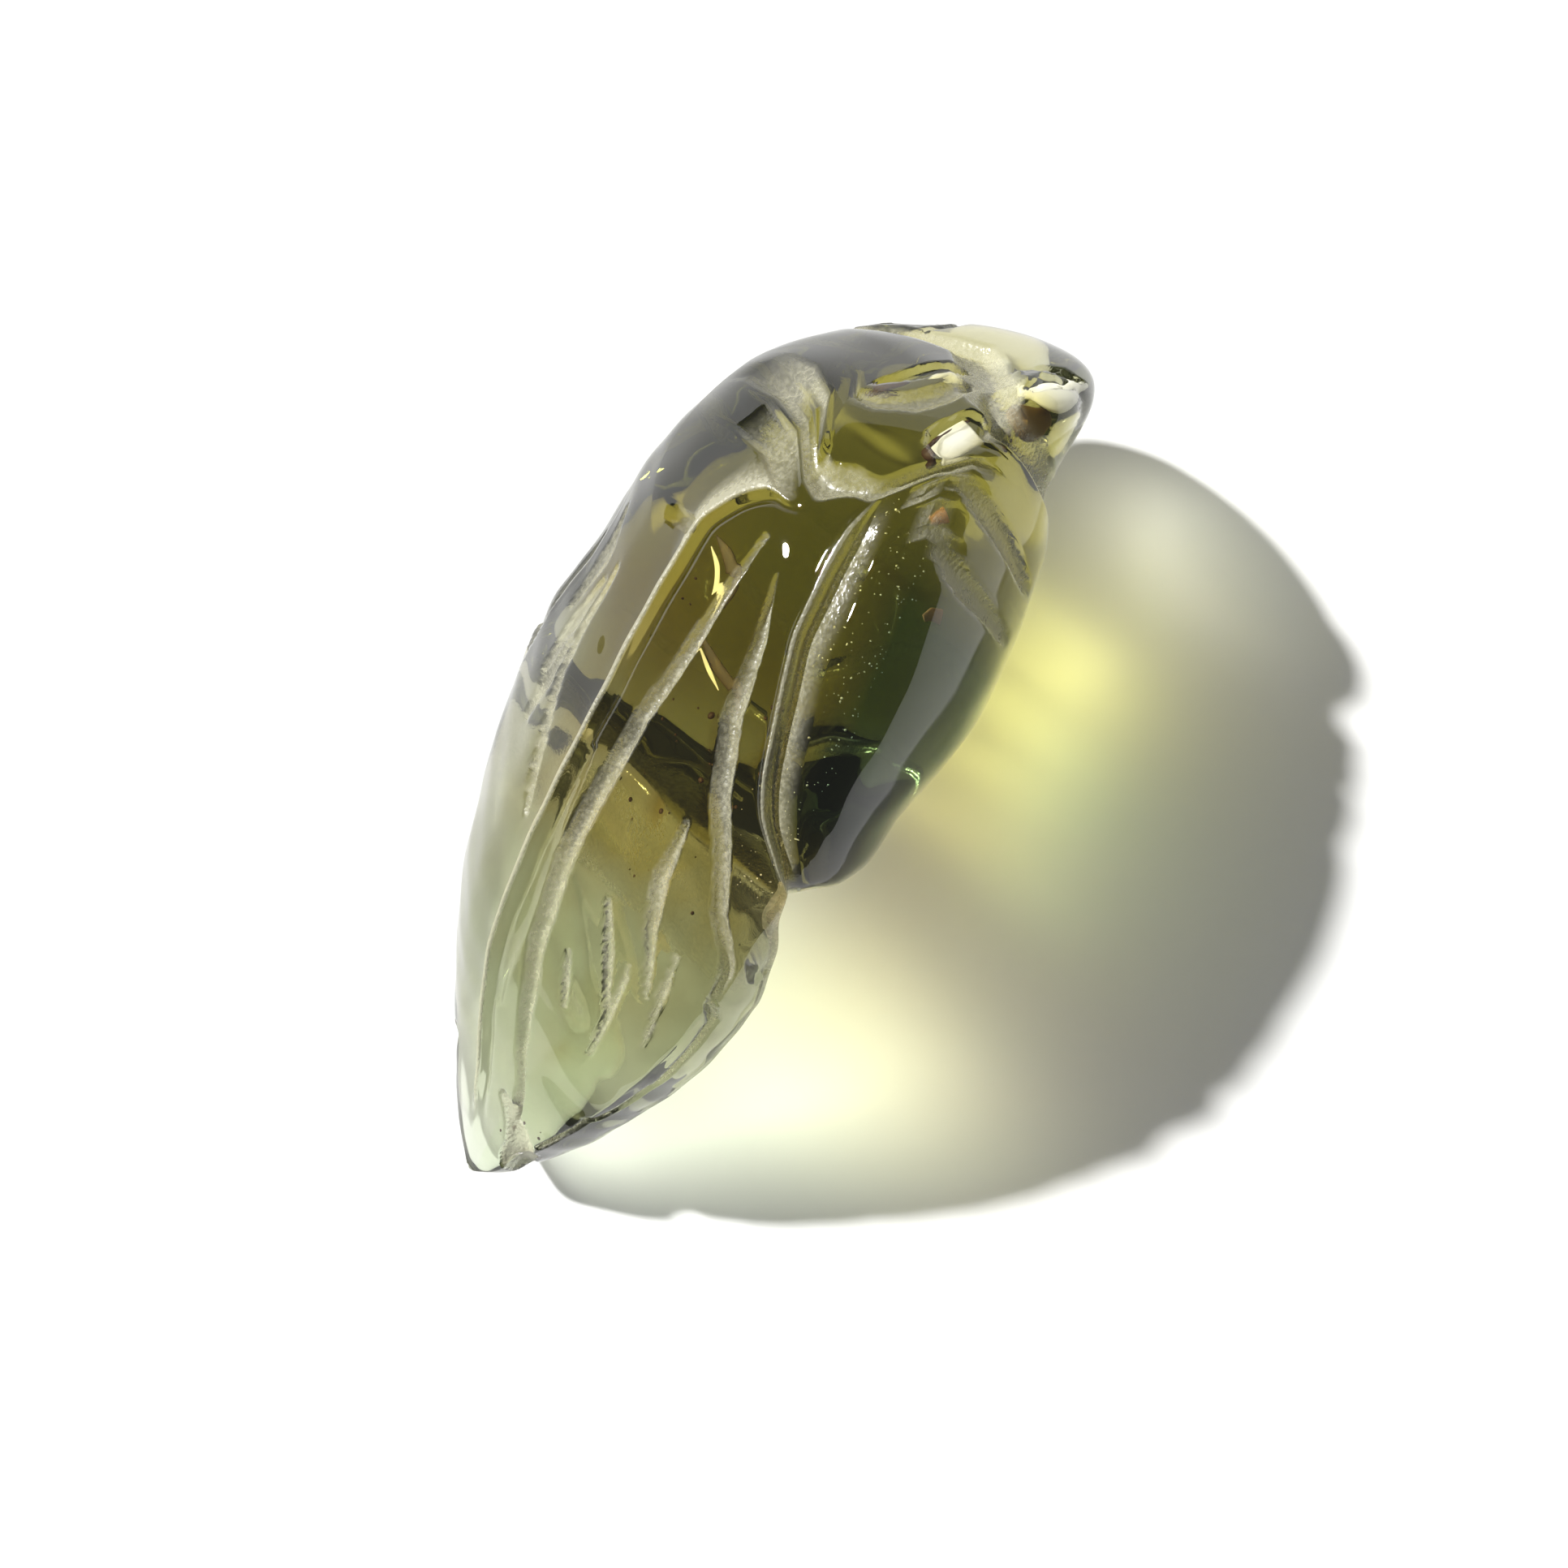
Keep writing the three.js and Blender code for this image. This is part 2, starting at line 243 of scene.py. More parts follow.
@dataclass(frozen=True)
class Cut:
    """A hand-cut line or hollow, or with a negative depth a raised form.

    The line is given as places along the body and degrees from the crest on the right side, with the
    half width of the cut at each point. A high power makes the cut flat below with steep walls. Negative
    frost polishes away what other cuts frosted.
    """

    line: Knots
    halves: tuple[float, ...]
    depth: float
    frost: float = 1.0
    side: Side = Side.BOTH
    power: float = 2.0


@dataclass(frozen=True)
class SoftSpot:
    """A soft-edged area of colour: middle and spread, along the body and in degrees from the crest."""

    place: float
    degrees: float
    length: float
    width: float

    def share(self, t: np.ndarray, angle: np.ndarray) -> np.ndarray:
        """Share of the colour, 1 in the middle.

        Args:
            t: places along the body.
            angle: degrees from the crest.

        Returns:
            The share.
        """
        return np.exp(-((t - self.place) / self.length) ** 2 - ((angle - self.degrees) / self.width) ** 2)


# Painted shade over the shield lens, and painted light at the window, the crescent and the tail glow.
SHIELD_SHADE = SoftSpot(0.735, -9, 0.035, 6)
WINDOW_LIGHT = SoftSpot(0.845, 56, 0.03, 8)
CRESCENT_LIGHT = SoftSpot(0.885, 17, 0.02, 6)
TAIL_GLOW = SoftSpot(0.2, 76, 0.06, 16)
WING_CUTS = (
    Cut(((0.685, 20), (0.635, 18), (0.573, 16), (0.503, 13), (0.413, 12), (0.353, 12), (0.279, 16),
         (0.17, 25), (0.1, 40)), (0.12, 0.35, 0.5, 0.6, 0.7, 0.72, 0.65, 0.5, 0.35), 0.5, side=Side.RIGHT),
    Cut(((0.663, 28), (0.613, 32), (0.553, 34), (0.493, 42), (0.459, 50), (0.413, 60), (0.377, 80),
         (0.329, 93), (0.251, 94), (0.174, 91), (0.1, 76)),
        (0.12, 0.45, 0.68, 0.65, 0.55, 0.5, 0.45, 0.35, 0.3, 0.25, 0.2), 0.45, side=Side.RIGHT),
    Cut(((0.457, 37), (0.405, 38), (0.361, 44), (0.311, 56)), (0.2, 0.6, 0.45, 0.12), 0.35, side=Side.RIGHT),
    Cut(((0.357, 29), (0.32, 37), (0.279, 46)), (0.2, 0.38, 0.15), 0.28, side=Side.RIGHT),
    Cut(((0.325, 45), (0.28, 48), (0.228, 52)), (0.12, 0.32, 0.12), 0.25, side=Side.RIGHT),
    Cut(((0.361, 56), (0.32, 61), (0.271, 68)), (0.12, 0.32, 0.12), 0.25, side=Side.RIGHT),
    Cut(((0.295, 26), (0.27, 30), (0.25, 34)), (0.12, 0.3, 0.12), 0.22, side=Side.RIGHT),
    Cut(((0.45, 5), (0.36, 6), (0.275, 8), (0.2, 8)), (0.3, 0.8, 0.9, 0.4), 0.22, 0.0, Side.RIGHT),
    Cut(((0.431, 76), (0.415, 90), (0.389, 100)), (0.9, 1.2, 0.8), 0.3, 0.0, Side.RIGHT),
    Cut(((0.585, 22), (0.525, 22), (0.477, 21), (0.405, 14), (0.355, 10)), (0.3, 0.45, 0.45, 0.4, 0.3),
        0.2, 0.9, Side.LEFT),
    Cut(((0.63, 29), (0.581, 34), (0.531, 38)), (0.4, 0.9, 0.4), 0.2, 0.7, Side.LEFT),
    Cut(((0.567, 26), (0.52, 29), (0.469, 32)), (0.4, 0.9, 0.4), 0.2, 0.7, Side.LEFT),
    Cut(((0.505, 25), (0.465, 27), (0.42, 30)), (0.4, 0.8, 0.4), 0.2, 0.7, Side.LEFT),
    Cut(((0.6, 48), (0.5, 60), (0.4, 76), (0.3, 84), (0.2, 80)), (0.3, 0.5, 0.5, 0.4, 0.2), 0.3, 0.5, Side.LEFT),
)
BODY_CUTS = (
    Cut(((0.64, -7), (0.673, -4), (0.705, 0), (0.735, 5), (0.76, 6), (0.784, 0), (0.8, -11)),
        (0.25, 0.4, 0.5, 0.6, 0.65, 0.8, 0.8), 0.7, 0.9, Side.RIGHT, 4.0),
    Cut(((0.764, -24), (0.786, -23), (0.806, -18)), (0.25, 0.5, 0.8), 0.1, 0.8, Side.RIGHT),
    Cut(((0.79, 11), (0.765, 20)), (0.7, 0.6), -0.55, -1.0, Side.RIGHT),
    Cut(((0.75, 23), (0.752, 30), (0.757, 37)), (0.5, 0.9, 0.5), 0.2, 0.9, Side.RIGHT),
    Cut(((0.842, 14), (0.868, 17), (0.892, 18), (0.915, 15)), (0.15, 0.6, 0.65, 0.2), 0.5, 0.0, Side.RIGHT, 4.0),
    Cut(((0.822, 14), (0.828, 24), (0.845, 32), (0.872, 35), (0.9, 30)), (0.3, 0.7, 0.95, 0.8, 0.4),
        0.35, 0.7, Side.RIGHT),
    Cut(((0.832, 55), (0.858, 58)), (1.15, 1.15), 0.4, 0.0, Side.BOTH, 6.0),
    Cut(((0.905, 44), (0.888, 57), (0.868, 68)), (0.8, 0.9, 0.8), 0.3, 0.9),
    Cut(((0.115, 24), (0.09, 50), (0.062, 80), (0.05, 112)), (0.5, 1.2, 1.3, 0.9), 0.6, 1.8, Side.RIGHT),
    Cut(((0.1, 60), (0.07, 90)), (0.8, 0.8), 0.3, 0.8, Side.LEFT),
    Cut(((0.925, 66),), (2.8,), -0.9, 0.0, Side.RIGHT),
    Cut(((0.925, 66),), (2.4,), -0.2, 0.0, Side.LEFT),
    Cut(((0.93, 36), (0.95, 42), (0.962, 54), (0.965, 70)), (0.3, 0.55, 0.55, 0.3), 0.4, 0.0),
    Cut(((0.915, 58), (0.932, 58), (0.948, 66)), (0.4, 0.7, 0.4), 0.4, 0.0, Side.BOTH, 4.0),
    Cut(((0.792, 61), (0.768, 74), (0.752, 93), (0.747, 117)), (0.5, 0.75, 0.75, 0.5), 0.4, 1.6, Side.BOTH, 4.0),
    Cut(((0.818, 68), (0.81, 92), (0.794, 118)), (0.5, 0.75, 0.5), 0.4, 1.6, Side.BOTH, 4.0),
    Cut(((0.42, 140), (0.42, 180)), (4.5, 4.5), 0.0, 0.3),
    Cut(((0.74, 150), (0.735, 180)), (0.5, 0.5), 0.3, 0.5),
    Cut(((0.66, 140), (0.655, 180)), (0.5, 0.5), 0.3, 0.5),
    Cut(((0.58, 130), (0.575, 180)), (0.5, 0.5), 0.3, 0.5),
)


@dataclass
class CarvedStone:
    """The carved cicada: one closed fine mesh with its cuts, laid on its left side."""

    form: BodyForm = field(default_factory=BodyForm)
    layout: Layout = field(default_factory=Layout)
    roll: float = 40
    pitch: float = 2.2
    body_origin: tuple[float, float, float] = (-31.152, -5.950, 3.072)
    rings: int = 410
    tip_crowding: float = 0.18
    ridge_width: float = 0.9
    band_width: float = 2.0
    right_columns: tuple[int, ...] = (6, 18, 58, 32, 18, 22)
    left_columns: tuple[int, ...] = (4, 20, 24, 12, 8, 14)
    ridge_rise: float = 0.2
    ridge_drop: float = 0.5
    edge_wall: float = 0.2
    edge_depth: float = 0.85
    left_share: float = 0.45
    clear_margin: float = 2.6
    hem_halves: tuple[float, float] = (1.25, 0.6)
    hem_depth: float = 0.6
    collar_half: float = 1.2
    collar_depth: float = 0.8
    chatter: float = 0.05
    waver: float = 0.06
    carved: BVHTree | None = None
    ray_step: float = 1e-7

    def place(self, points: np.ndarray) -> np.ndarray:
        """Turns points from the body into the attitude in which the stone lies.

        Args:
            points: points in millimetres, forward, left and up from the tail end of the body line.

        Returns:
            Points in metres in the row's frame.
        """
        roll, pitch = math.radians(self.roll), math.radians(self.pitch)
        x, y, z = points[..., 0], points[..., 1], points[..., 2]
        back = y * math.cos(roll) + z * math.sin(roll)
        rise = z * math.cos(roll) - y * math.sin(roll)
        turned = np.stack([x * math.cos(pitch) - rise * math.sin(pitch), back,
                           x * math.sin(pitch) + rise * math.cos(pitch)], -1)
        return (turned + np.array(self.body_origin)) * MM

    def holds(self, place: Vector) -> bool:
        """Tells whether a place is inside the stone, by how often a level ray crosses its surface.

        Args:
            place: the place in metres.

        Returns:
            True inside the stone.
        """
        way, crossings = Vector((0.8, 0.6, 0)), 0
        hit = self.carved.ray_cast(place, way)[0]
        while hit is not None:
            crossings += 1
            hit = self.carved.ray_cast(hit + way * self.ray_step, way)[0]
        return crossings % 2 == 1

    def seated(self, spot: np.ndarray, cover: float) -> np.ndarray:
        """Moves a spot that is not deep enough to just under the carved surface.

        Args:
            spot: a point in millimetres from the tail end of the body line.
            cover: the least depth under the surface, in millimetres.

        Returns:
            The spot in metres in the row's frame.
        """
        place = Vector(self.place(spot))
        near, normal, _, _ = self.carved.find_nearest(place)
        if not self.holds(place) or (near - place).length < cover * MM:
            place = near - normal * cover * MM
        return np.array(place)

    def side_grid(self, ring: np.ndarray, side: int) -> dict[str, np.ndarray]:
        """Lays the columns of one side, even in width between the guide lines.

        Args:
            ring: ring numbers from 0 to 1.
            side: 1 for the right side, -1 for the left.

        Returns:
            Arrays of rings by columns: angle from the crest and widths from the ridge and the wing edge.
        """
        rows = ring[:, None]
        start = curve(self.layout.ridge, ring)[:, None]
        angle = start + (side * 180 - start) * np.linspace(0, 1, 721)[None, :]
        points = self.form.skin(self.layout.ring_place(rows, angle), angle)
        arc = np.zeros(angle.shape)
        arc[:, 1:] = np.cumsum(np.linalg.norm(np.diff(points, axis=1), axis=-1), axis=1)
        total = arc[:, -1]

        def width_at(knots: Knots) -> np.ndarray:
            """Widths from the ridge to a guide line, ring by ring."""
            want = curve(knots, ring)
            want = want if side > 0 else self.layout.mirrored(ring, want)
            return np.array([np.interp(side * w, side * a, c) for w, a, c in zip(want, angle, arc)])

        lip = np.maximum(width_at(self.layout.ridge), self.ridge_width)
        guides = [np.zeros(len(ring)), lip]
        guides += [width_at(knots) for knots in (self.layout.inner, self.layout.outer, self.layout.edge)]
        guides += [guides[-1] + self.band_width, total]
        stops = np.stack(guides, 1)
        least = np.arange(len(guides)) * 0.05
        stops = np.maximum.accumulate(stops + least, axis=1)
        stops = np.minimum(stops, total[:, None] - least[::-1])
        even = total[:, None] * np.linspace(0, 1, len(guides))
        stops = even + (stops - even) * smooth(total, 4, 14)[:, None]
        stops[:, 0], stops[:, -1] = 0, total
        columns = self.right_columns if side > 0 else self.left_columns
        places = [stops[:, k:k + 1] + (stops[:, k + 1:k + 2] - stops[:, k:k + 1]) * np.arange(n) / n
                  for k, n in enumerate(columns)]
        width = np.concatenate(places + [total[:, None]], axis=1)
        fine = np.stack([np.interp(w, c, a) for w, a, c in zip(width, angle, arc)])
        return {"angle": fine, "ridge": width, "edge": width - stops[:, 4:5]}

    def guide_cuts(self, ring: np.ndarray, grid: dict[str, np.ndarray], side: int) -> tuple[np.ndarray, np.ndarray]:
        """Cuts that follow the ridge, the wing edge and the bent rings.

        Args:
            ring: ring numbers from 0 to 1.
            grid: widths from the ridge and the wing edge.
            side: 1 for the right side, -1 for the left.

        Returns:
            Heights in millimetres and how frosted each point is, the frost including two painted highlight lines, on
            the ridge crest and inside the wing edge.
        """
        rows = ring[:, None]
        crest = smooth(rows, 0.05, 0.12) * (1 - smooth(rows, 0.7, 0.76))
        step = smooth(rows, 0.1, 0.5) * (1 - smooth(rows, 0.74, 0.8))
        from_ridge, cove = grid["ridge"], grid["edge"]
        height = self.ridge_rise * np.exp(-(from_ridge / 0.35) ** 2) * crest
        # Painted highlight: a frosted line on the ridge crest.
        ridge_highlight = 1.8 * (1 - smooth(from_ridge, 0.12, 0.3)) * crest
        if side > 0:
            height -= 0.5 * self.ridge_drop * np.exp(-((from_ridge - 0.85) / 0.3) ** 2) * crest
        else:
            height -= self.ridge_drop * smooth(from_ridge, 0.1, 0.6) * (1 - smooth(from_ridge, 1.2, 5)) * crest
            step = step * self.left_share * (1 - smooth(rows, 0.4, 0.72))
        wall = np.clip(cove / self.edge_wall, 0, 1) * np.clip(1 - (cove - self.edge_wall) / self.band_width, 0, 1)
        height -= self.edge_depth * wall * step
        height += 0.14 * np.exp(-((cove + 0.25) / 0.22) ** 2) * step
        # Painted highlight: a frosted line just inside the wing edge.
        lip = 1.8 * smooth(cove, -0.28, -0.16) * (1 - smooth(cove, -0.02, 0.08)) * step
        frost = np.maximum.reduce([smooth(wall * step, 0.05, 0.9), ridge_highlight, lip])
        down = np.abs(grid["angle"])
        narrow = smooth(down, 26, 40)
        half = self.hem_halves[0] + (self.hem_halves[1] - self.hem_halves[0]) * narrow
        along = (rows - self.layout.hem_ring) * self.form.length + (half - 0.25) * (1 - narrow)
        hem_end, collar_end = ((62, 88), (90, 180)) if side > 0 else ((3, 18), (30, 60))
        hem = np.maximum(1 - (along / half) ** 2, 0) * (1 - smooth(down, *hem_end))
        neck = (rows - self.layout.collar_ring) * self.form.length
        collar = np.maximum(1 - (neck / self.collar_half) ** 2, 0) * (1 - smooth(down, *collar_end))
        height -= self.hem_depth * hem + self.collar_depth * collar
        return height, np.maximum(frost, smooth(np.maximum(hem, collar), 0.05, 0.3))

    def hand_cuts(self, points: np.ndarray, cuts: Sequence[Cut]) -> tuple[np.ndarray, np.ndarray, np.ndarray]:
        """Heights and frost of free cuts by their distance from each point.

        Args:
            points: points on the uncarved stone.
            cuts: the cuts.

        Returns:
            Heights in millimetres, how frosted each point is, and where frost is polished away.
        """
        height, frost, bare = (np.zeros(points.shape[:-1]) for _ in range(3))
        ragged = 1 + self.chatter * self.ripple(points, 0.9)
        for cut in cuts:
            t, angle = np.array(cut.line, float).T
            steps = np.linspace(0, len(t) - 1, max(24 * (len(t) - 1), 1))
            index = np.arange(len(t))
            halves = np.interp(steps, index, cut.halves)
            places, turns = np.interp(steps, index, t), np.interp(steps, index, angle)
            for side in cut.side.value:
                own = turns if side > 0 else self.layout.mirrored(places, turns)
                line = self.form.skin(places, own)
                reach = max(cut.halves)
                near = np.all((points > line.min(0) - reach) & (points < line.max(0) + reach), axis=-1)
                some = points[near]
                ratio = np.full(len(some), np.inf)
                for p, half in zip(line, halves):
                    ratio = np.minimum(ratio, np.linalg.norm(some - p, axis=-1) / half)
                bowl = np.maximum(1 - (ratio * ragged[near]) ** cut.power, 0)
                height[near] -= cut.depth * bowl
                frost[near] = np.maximum(frost[near], cut.frost * smooth(bowl, 0.05, 0.3))
                if cut.frost < 0:
                    bare[near] = np.maximum(bare[near], smooth(bowl, 0.05, 0.3))
        return height, frost, bare

    @staticmethod
    def ripple(points: np.ndarray, size: float) -> np.ndarray:
        """Uneven waves between about -1 and 1, the same on every run.

        Args:
            points: points in millimetres.
            size: rough length of a wave in millimetres.

        Returns:
            The waves.
        """
        total = np.zeros(points.shape[:-1])
        for k in range(1, 7):
            way = np.array([math.sin(2.4 * k), math.cos(1.7 * k), math.sin(3.1 * k + 1)])
            total += np.sin(points @ way * (2 * math.pi / size) * (0.6 + 0.17 * k) + 2.1 * k)
        return total / 3

    def colours(self, t: np.ndarray, angle: np.ndarray, cove: np.ndarray) -> tuple[np.ndarray, np.ndarray]:
        """Painted shade over the flank and the shield, and where the stone is nearly clear: thin wing margins, and
        painted light elsewhere.

        Args:
            t: places along the body.
            angle: degrees from the crest.
            cove: widths from the wing edge, negative on the wing.

        Returns:
            Shares of painted shade and of clear colour, the clear share partly painted light.
        """
        # Painted shade: the flank and the shield lens take the dark green-black tint.
        shaded_flank = (smooth(t, 0.46, 0.54) * (1 - smooth(t, 0.7, 0.8))
                 * smooth(angle, 45, 72) * (1 - smooth(angle, 140, 170)))
        deep = np.maximum(shaded_flank, SHIELD_SHADE.share(t, angle))
        margin = np.exp(-(cove / self.clear_margin) ** 2) * (1 - smooth(t, 0.38, 0.5)) * (cove < self.band_width)
        # Painted light: the far side, the head's face, the window, the crescent and the tail glow take the pale clear
        # tint.
        far = (1 - smooth(t, 0.5, 0.62)) * smooth(-angle, 6, 30)
        painted_face_light = smooth(t, 0.9, 0.93) * (0.6 + 0.4 * smooth(angle, 30, 45))
        clear = np.maximum.reduce([
            margin * smooth(t, 0.03, 0.12), 0.8 * far, 0.8 * painted_face_light, 0.9 * WINDOW_LIGHT.share(t, angle),
            0.9 * CRESCENT_LIGHT.share(t, angle), 0.8 * TAIL_GLOW.share(t, angle)])
        return deep, clear

    def surface(self) -> tuple[np.ndarray, list[tuple[int, ...]], dict[str, np.ndarray]]:
        """Works out the carved surface.

        Returns:
            Points in metres, faces as quads and triangles, and the shares of frost with its painted highlight lines,
            of painted shade and of clear colour that is partly painted light.
        """
        even = np.arange(1, self.rings) / self.rings
        ring = even + ((1 - np.cos(np.pi * even)) / 2 - even) * self.tip_crowding
        parts = []
        for side in (1, -1):
            grid = self.side_grid(ring, side)
            height, frost = self.guide_cuts(ring, grid, side)
            parts.append((grid["angle"], height, frost, grid["edge"]))
        angle, height, frost, cove = (np.concatenate([a, b[:, -2:0:-1]], axis=1) for a, b in zip(*parts))
        t = self.layout.ring_place(ring[:, None], angle)
        base = self.form.skin(t, angle)
        more, mist, bare = self.hand_cuts(base, WING_CUTS + BODY_CUTS)
        frost = np.maximum(frost, mist) * (1 - bare)
        uneven = self.waver * self.ripple(base, 7.0)
        rise = (height + more + uneven) * self.form.rounding(t)
        points = base + self.form.outward(t, angle) * rise[..., None]
        rows, count = angle.shape
        ends = self.form.skin(np.array([0.0, 1.0]), np.array([0.0, 0.0]))
        cloud = self.place(np.concatenate([points.reshape(-1, 3), ends]))
        cloud[:, 2] = np.maximum(cloud[:, 2], 0)
        index = np.arange(rows * count).reshape(rows, count)
        turn = np.roll(index, -1, axis=1)
        quads = np.stack([index[:-1], turn[:-1], turn[1:], index[1:]], -1).reshape(-1, 4)
        tail, nose = rows * count, rows * count + 1
        caps = [np.stack([np.full(count, tail), turn[0], index[0]], -1),
                np.stack([np.full(count, nose), index[-1], turn[-1]], -1)]
        faces = [tuple(q) for q in quads.tolist()] + [tuple(c) for c in np.concatenate(caps).tolist()]
        deep, clear = self.colours(t, angle, cove)
        # The frost share also holds painted highlight lines, the deep share is painted shade and the clear share is
        # partly painted light.
        shares = {"frost": frost, "deep": deep, "clear": clear}
        return cloud, faces, {name: np.concatenate([v.ravel(), [0, 0]]) for name, v in shares.items()}

    def build(self) -> bpy.types.Object:
        """Builds the stone as a mesh that stands for the carved node.

        Returns:
            The stone.
        """
        points, faces, shares = self.surface()
        self.carved = BVHTree.FromPolygons(points.tolist(), faces)
        mesh = bpy.data.meshes.new("citrine_cicada")
        mesh.from_pydata(points.tolist(), [], faces)
        for name, share in shares.items():
            mesh.attributes.new(name, "FLOAT", "POINT").data.foreach_set("value", share.astype(np.float32))
        mesh.shade_smooth()
        mesh.update()
        stone = bpy.data.objects.new("citrine_cicada", mesh)
        bpy.context.scene.collection.objects.link(stone)
        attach(stone, "root")
        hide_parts(NODE)
        return stone


class Sock:
    """A shader socket whose arithmetic adds Math nodes."""

    def __init__(self, tree: "Nodes", socket: bpy.types.NodeSocket) -> None:
        """Keeps the socket and the tree it belongs to."""
        self.tree = tree
        self.socket = socket

    def _math(self, operation: str, first: "Sock | float", second: "Sock | float") -> "Sock":
        """Adds one Math node."""
        return self.tree.add("ShaderNodeMath", {"operation": operation}, {0: first, 1: second})

    def __add__(self, other: "Sock | float") -> "Sock":
        """Sum."""
        return self._math("ADD", self, other)

    def __radd__(self, other: float) -> "Sock":
        """Sum from the right."""
        return self._math("ADD", other, self)

    def __sub__(self, other: "Sock | float") -> "Sock":
        """Difference."""
        return self._math("SUBTRACT", self, other)

    def __rsub__(self, other: float) -> "Sock":
        """Difference from the right."""
        return self._math("SUBTRACT", other, self)

    def __mul__(self, other: "Sock | float") -> "Sock":
        """Product."""
        return self._math("MULTIPLY", self, other)

    def __rmul__(self, other: float) -> "Sock":
        """Product from the right."""
        return self._math("MULTIPLY", other, self)

    def clamped(self) -> "Sock":
        """The value held between 0 and 1."""
        return self.tree.add("ShaderNodeClamp", {}, {"Value": self})


class Nodes:
    """A node tree that is filled through one method."""

    def __init__(self, tree: bpy.types.NodeTree) -> None:
        """Clears the tree."""
        self.tree = tree
        tree.nodes.clear()

    def add(self, kind: str, settings: dict, values: dict, output: int | str = 0) -> Sock:
        """Adds a node.

        Args:
            kind: the node's type.
            settings: properties that are set first.
            values: values or links of its sockets, by name or number.
            output: the output to return.

        Returns:
            The output socket, wrapped.
        """
        node = self.tree.nodes.new(kind)
        for name, value in settings.items():
            if name == "stops":
                ramp = node.color_ramp.elements
                while len(ramp) < len(value):
                    ramp.new(0.5)
                for element, (at, colour) in zip(ramp, value):
                    element.position = at
                    element.color = colour
            else:
                setattr(node, name, value)
        for name, value in values.items():
            if isinstance(value, Sock):
                self.tree.links.new(value.socket, node.inputs[name])
            else:
                node.inputs[name].default_value = value
        return Sock(self, node.outputs[output]) if node.outputs else Sock(self, None)


